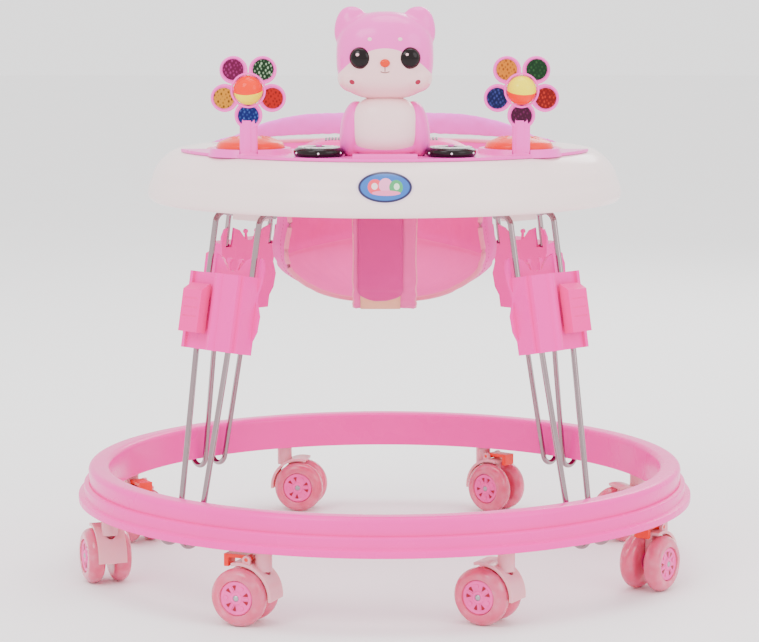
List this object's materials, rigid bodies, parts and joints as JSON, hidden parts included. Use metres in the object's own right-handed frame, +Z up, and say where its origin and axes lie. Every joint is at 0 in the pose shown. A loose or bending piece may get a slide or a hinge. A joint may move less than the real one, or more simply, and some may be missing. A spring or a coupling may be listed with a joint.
{
  "type": "baby walker",
  "caption": "Round baby walker: castored floor ring, height-adjustable wire legs, ring tray with a cat, flowers and push toys, and a fabric sling seat.",
  "frame": {"origin": "on the floor, under the centre of the floor ring", "axes": "+Z up; -Y towards the toy side of the tray, which is the front; +X to the right seen from the front"},
  "size_m": [0.6599, 0.66, 0.5991],
  "materials": {
    "pink_plastic": "moulded gloss",
    "bright_steel": "bright",
    "plated_wire": "plated",
    "pale_pink_plastic": "milky gloss",
    "tinted_wheel_plastic": "tinted, see-through at the rim",
    "orange_plastic": "gloss",
    "white_plastic": "satin",
    "speaker_black": "matt",
    "toy_pink_plastic": "soft gloss",
    "printed_film": "printed film",
    "ball_plastic": "gloss",
    "black_plastic": "gloss",
    "pink_fabric": "woven",
    "padded_fabric": "padded, woven"
  },
  "bodies": {
    "base": {"base_ring": "pink_plastic", "caster_kingpins": "bright_steel", "ring_clips": "pink_plastic"},
    "tray": {"tray_rim": "white_plastic", "tray_clips": "white_plastic", "music_tray": "pink_plastic", "battery_box": "pink_plastic", "battery_cover": "pink_plastic", "speaker": "speaker_black", "cat_body": "toy_pink_plastic", "seat_sling": "pink_fabric", "crotch_strap": "pink_fabric", "backrest": "padded_fabric", "flower_frame_left": "toy_pink_plastic", "petal_stickers_left": "printed_film", "flower_frame_right": "toy_pink_plastic", "petal_stickers_right": "printed_film"},
    "lower_leg_front_left": {"lower_wires_front_left": "plated_wire", "height_bracket_front_left": "pink_plastic"},
    "button_front_left": {"height_button_front_left": "pink_plastic"},
    "upper_leg_front_left": {"upper_wires_front_left": "plated_wire"},
    "lower_leg_front_right": {"lower_wires_front_right": "plated_wire", "height_bracket_front_right": "pink_plastic"},
    "button_front_right": {"height_button_front_right": "pink_plastic"},
    "upper_leg_front_right": {"upper_wires_front_right": "plated_wire"},
    "lower_leg_back_right": {"lower_wires_back_right": "plated_wire", "height_bracket_back_right": "pink_plastic"},
    "button_back_right": {"height_button_back_right": "pink_plastic"},
    "upper_leg_back_right": {"upper_wires_back_right": "plated_wire"},
    "lower_leg_back_left": {"lower_wires_back_left": "plated_wire", "height_bracket_back_left": "pink_plastic"},
    "button_back_left": {"height_button_back_left": "pink_plastic"},
    "upper_leg_back_left": {"upper_wires_back_left": "plated_wire"},
    "caster_1": {"caster_hood_1": "pale_pink_plastic"},
    "wheels_1": {"caster_wheels_1": "tinted_wheel_plastic"},
    "brake_1": {"brake_tab_1": "orange_plastic"},
    "caster_2": {"caster_hood_2": "pale_pink_plastic"},
    "wheels_2": {"caster_wheels_2": "tinted_wheel_plastic"},
    "caster_3": {"caster_hood_3": "pale_pink_plastic"},
    "wheels_3": {"caster_wheels_3": "tinted_wheel_plastic"},
    "brake_3": {"brake_tab_3": "orange_plastic"},
    "caster_4": {"caster_hood_4": "pale_pink_plastic"},
    "wheels_4": {"caster_wheels_4": "tinted_wheel_plastic"},
    "caster_5": {"caster_hood_5": "pale_pink_plastic"},
    "wheels_5": {"caster_wheels_5": "tinted_wheel_plastic"},
    "brake_5": {"brake_tab_5": "orange_plastic"},
    "caster_6": {"caster_hood_6": "pale_pink_plastic"},
    "wheels_6": {"caster_wheels_6": "tinted_wheel_plastic"},
    "caster_7": {"caster_hood_7": "pale_pink_plastic"},
    "wheels_7": {"caster_wheels_7": "tinted_wheel_plastic"},
    "brake_7": {"brake_tab_7": "orange_plastic"},
    "caster_8": {"caster_hood_8": "pale_pink_plastic"},
    "wheels_8": {"caster_wheels_8": "tinted_wheel_plastic"},
    "cat_head": {"cat_head": "toy_pink_plastic"},
    "ball_left": {"flower_ball_left": "ball_plastic"},
    "push_left": {"orange_button_left": "orange_plastic"},
    "disc_left": {"black_disc_left": "black_plastic"},
    "ball_right": {"flower_ball_right": "ball_plastic"},
    "push_right": {"orange_button_right": "orange_plastic"},
    "disc_right": {"black_disc_right": "black_plastic"}
  },
  "joints": [
    {"name": "tray_height", "type": "slide", "parent": "base", "child": "tray", "axis": [0, 0, 1], "range_m": [-0.06, 0]},
    {"name": "foot_pivot_front_left", "type": "hinge", "parent": "base", "child": "lower_leg_front_left", "pos_m": [-0.2121, -0.22745, 0.088], "axis": [0.7314, -0.682, 0], "range_deg": [-2.45, 0]},
    {"name": "head_pivot_front_left", "type": "hinge", "parent": "tray", "child": "upper_leg_front_left", "pos_m": [-0.13572, -0.14554, 0.391], "axis": [0.7314, -0.682, 0], "range_deg": [-2.45, 0]},
    {"name": "height_button_front_left", "type": "slide", "parent": "lower_leg_front_left", "child": "button_front_left", "axis": [0.6701, 0.7186, -0.186], "range_m": [0, 0.004], "stiffness_N_per_m": 400, "springref_m": -0.002},
    {"name": "foot_pivot_front_right", "type": "hinge", "parent": "base", "child": "lower_leg_front_right", "pos_m": [0.2121, -0.22745, 0.088], "axis": [0.7314, 0.682, 0], "range_deg": [-2.45, 0]},
    {"name": "head_pivot_front_right", "type": "hinge", "parent": "tray", "child": "upper_leg_front_right", "pos_m": [0.13572, -0.14554, 0.391], "axis": [0.7314, 0.682, 0], "range_deg": [-2.45, 0]},
    {"name": "height_button_front_right", "type": "slide", "parent": "lower_leg_front_right", "child": "button_front_right", "axis": [-0.6701, 0.7186, -0.186], "range_m": [0, 0.004], "stiffness_N_per_m": 400, "springref_m": -0.002},
    {"name": "foot_pivot_back_right", "type": "hinge", "parent": "base", "child": "lower_leg_back_right", "pos_m": [0.2121, 0.22745, 0.088], "axis": [-0.7314, 0.682, 0], "range_deg": [-2.45, 0]},
    {"name": "head_pivot_back_right", "type": "hinge", "parent": "tray", "child": "upper_leg_back_right", "pos_m": [0.13572, 0.14554, 0.391], "axis": [-0.7314, 0.682, 0], "range_deg": [-2.45, 0]},
    {"name": "height_button_back_right", "type": "slide", "parent": "lower_leg_back_right", "child": "button_back_right", "axis": [-0.6701, -0.7186, -0.186], "range_m": [0, 0.004], "stiffness_N_per_m": 400, "springref_m": -0.002},
    {"name": "foot_pivot_back_left", "type": "hinge", "parent": "base", "child": "lower_leg_back_left", "pos_m": [-0.2121, 0.22745, 0.088], "axis": [-0.7314, -0.682, 0], "range_deg": [-2.45, 0]},
    {"name": "head_pivot_back_left", "type": "hinge", "parent": "tray", "child": "upper_leg_back_left", "pos_m": [-0.13572, 0.14554, 0.391], "axis": [-0.7314, -0.682, 0], "range_deg": [-2.45, 0]},
    {"name": "height_button_back_left", "type": "slide", "parent": "lower_leg_back_left", "child": "button_back_left", "axis": [0.6701, -0.7186, -0.186], "range_m": [0, 0.004], "stiffness_N_per_m": 400, "springref_m": -0.002},
    {"name": "caster_swivel_1", "type": "hinge", "parent": "base", "child": "caster_1", "pos_m": [-0.11863, -0.2864, 0.07], "axis": [0, 0, 1], "continuous": true},
    {"name": "wheel_spin_1", "type": "hinge", "parent": "caster_1", "child": "wheels_1", "pos_m": [-0.13718, -0.27891, 0.029], "axis": [-0.3746, -0.9272, 0], "continuous": true},
    {"name": "brake_lever_1", "type": "hinge", "parent": "caster_1", "child": "brake_1", "pos_m": [-0.13092, -0.28144, 0.066], "axis": [-0.3746, -0.9272, 0], "range_deg": [0, 10]},
    {"name": "caster_swivel_2", "type": "hinge", "parent": "base", "child": "caster_2", "pos_m": [0.11863, -0.2864, 0.07], "axis": [0, 0, 1], "continuous": true},
    {"name": "wheel_spin_2", "type": "hinge", "parent": "caster_2", "child": "wheels_2", "pos_m": [0.10131, -0.2764, 0.029], "axis": [-0.5, -0.866, 0], "continuous": true},
    {"name": "caster_swivel_3", "type": "hinge", "parent": "base", "child": "caster_3", "pos_m": [0.2864, -0.11863, 0.07], "axis": [0, 0, 1], "continuous": true},
    {"name": "wheel_spin_3", "type": "hinge", "parent": "caster_3", "child": "wheels_3", "pos_m": [0.27493, -0.13501, 0.029], "axis": [0.8192, -0.5736, 0], "continuous": true},
    {"name": "brake_lever_3", "type": "hinge", "parent": "caster_3", "child": "brake_3", "pos_m": [0.2788, -0.12949, 0.066], "axis": [0.8192, -0.5736, 0], "range_deg": [0, 10]},
    {"name": "caster_swivel_4", "type": "hinge", "parent": "base", "child": "caster_4", "pos_m": [0.2864, 0.11863, 0.07], "axis": [0, 0, 1], "continuous": true},
    {"name": "wheel_spin_4", "type": "hinge", "parent": "caster_4", "child": "wheels_4", "pos_m": [0.26761, 0.11179, 0.029], "axis": [0.342, -0.9397, 0], "continuous": true},
    {"name": "caster_swivel_5", "type": "hinge", "parent": "base", "child": "caster_5", "pos_m": [0.11863, 0.2864, 0.07], "axis": [0, 0, 1], "continuous": true},
    {"name": "wheel_spin_5", "type": "hinge", "parent": "caster_5", "child": "wheels_5", "pos_m": [0.13395, 0.27355, 0.029], "axis": [0.6428, 0.766, 0], "continuous": true},
    {"name": "brake_lever_5", "type": "hinge", "parent": "caster_5", "child": "brake_5", "pos_m": [0.12878, 0.27789, 0.066], "axis": [0.6428, 0.766, 0], "range_deg": [0, 10]},
    {"name": "caster_swivel_6", "type": "hinge", "parent": "base", "child": "caster_6", "pos_m": [-0.11863, 0.2864, 0.07], "axis": [0, 0, 1], "continuous": true},
    {"name": "wheel_spin_6", "type": "hinge", "parent": "caster_6", "child": "wheels_6", "pos_m": [-0.09894, 0.28293, 0.029], "axis": [0.1736, 0.9848, 0], "continuous": true},
    {"name": "caster_swivel_7", "type": "hinge", "parent": "base", "child": "caster_7", "pos_m": [-0.2864, 0.11863, 0.07], "axis": [0, 0, 1], "continuous": true},
    {"name": "wheel_spin_7", "type": "hinge", "parent": "caster_7", "child": "wheels_7", "pos_m": [-0.2764, 0.10131, 0.029], "axis": [0.866, 0.5, 0], "continuous": true},
    {"name": "brake_lever_7", "type": "hinge", "parent": "caster_7", "child": "brake_7", "pos_m": [-0.27978, 0.10716, 0.066], "axis": [0.866, 0.5, 0], "range_deg": [0, 10]},
    {"name": "caster_swivel_8", "type": "hinge", "parent": "base", "child": "caster_8", "pos_m": [-0.2864, -0.11863, 0.07], "axis": [0, 0, 1], "continuous": true},
    {"name": "wheel_spin_8", "type": "hinge", "parent": "caster_8", "child": "wheels_8", "pos_m": [-0.29324, -0.09984, 0.029], "axis": [-0.9397, -0.342, 0], "continuous": true},
    {"name": "cat_head_turn", "type": "hinge", "parent": "tray", "child": "cat_head", "pos_m": [0, -0.168, 0.5072], "axis": [0, 0, 1], "range_deg": [-40, 40]},
    {"name": "ball_spin_left", "type": "hinge", "parent": "tray", "child": "ball_left", "pos_m": [-0.137, -0.16, 0.5172], "axis": [1, 0, 0], "continuous": true},
    {"name": "push_button_left", "type": "slide", "parent": "tray", "child": "push_left", "axis": [0, 0, -1], "range_m": [0, 0.003], "stiffness_N_per_m": 600, "springref_m": -0.002},
    {"name": "disc_spin_left", "type": "hinge", "parent": "tray", "child": "disc_left", "pos_m": [-0.066, -0.18, 0.4572], "axis": [0, 0, 1], "continuous": true},
    {"name": "ball_spin_right", "type": "hinge", "parent": "tray", "child": "ball_right", "pos_m": [0.137, -0.16, 0.5172], "axis": [1, 0, 0], "continuous": true},
    {"name": "push_button_right", "type": "slide", "parent": "tray", "child": "push_right", "axis": [0, 0, -1], "range_m": [0, 0.003], "stiffness_N_per_m": 600, "springref_m": -0.002},
    {"name": "disc_spin_right", "type": "hinge", "parent": "tray", "child": "disc_right", "pos_m": [0.066, -0.18, 0.4572], "axis": [0, 0, 1], "continuous": true}
  ],
  "couplings": [
    {"joint": "foot_pivot_front_left", "follows": "tray_height", "rad_per_m": 0.71278},
    {"joint": "head_pivot_front_left", "follows": "tray_height", "rad_per_m": 0.71278},
    {"joint": "foot_pivot_front_right", "follows": "tray_height", "rad_per_m": 0.71278},
    {"joint": "head_pivot_front_right", "follows": "tray_height", "rad_per_m": 0.71278},
    {"joint": "foot_pivot_back_right", "follows": "tray_height", "rad_per_m": 0.71278},
    {"joint": "head_pivot_back_right", "follows": "tray_height", "rad_per_m": 0.71278},
    {"joint": "foot_pivot_back_left", "follows": "tray_height", "rad_per_m": 0.71278},
    {"joint": "head_pivot_back_left", "follows": "tray_height", "rad_per_m": 0.71278}
  ]
}
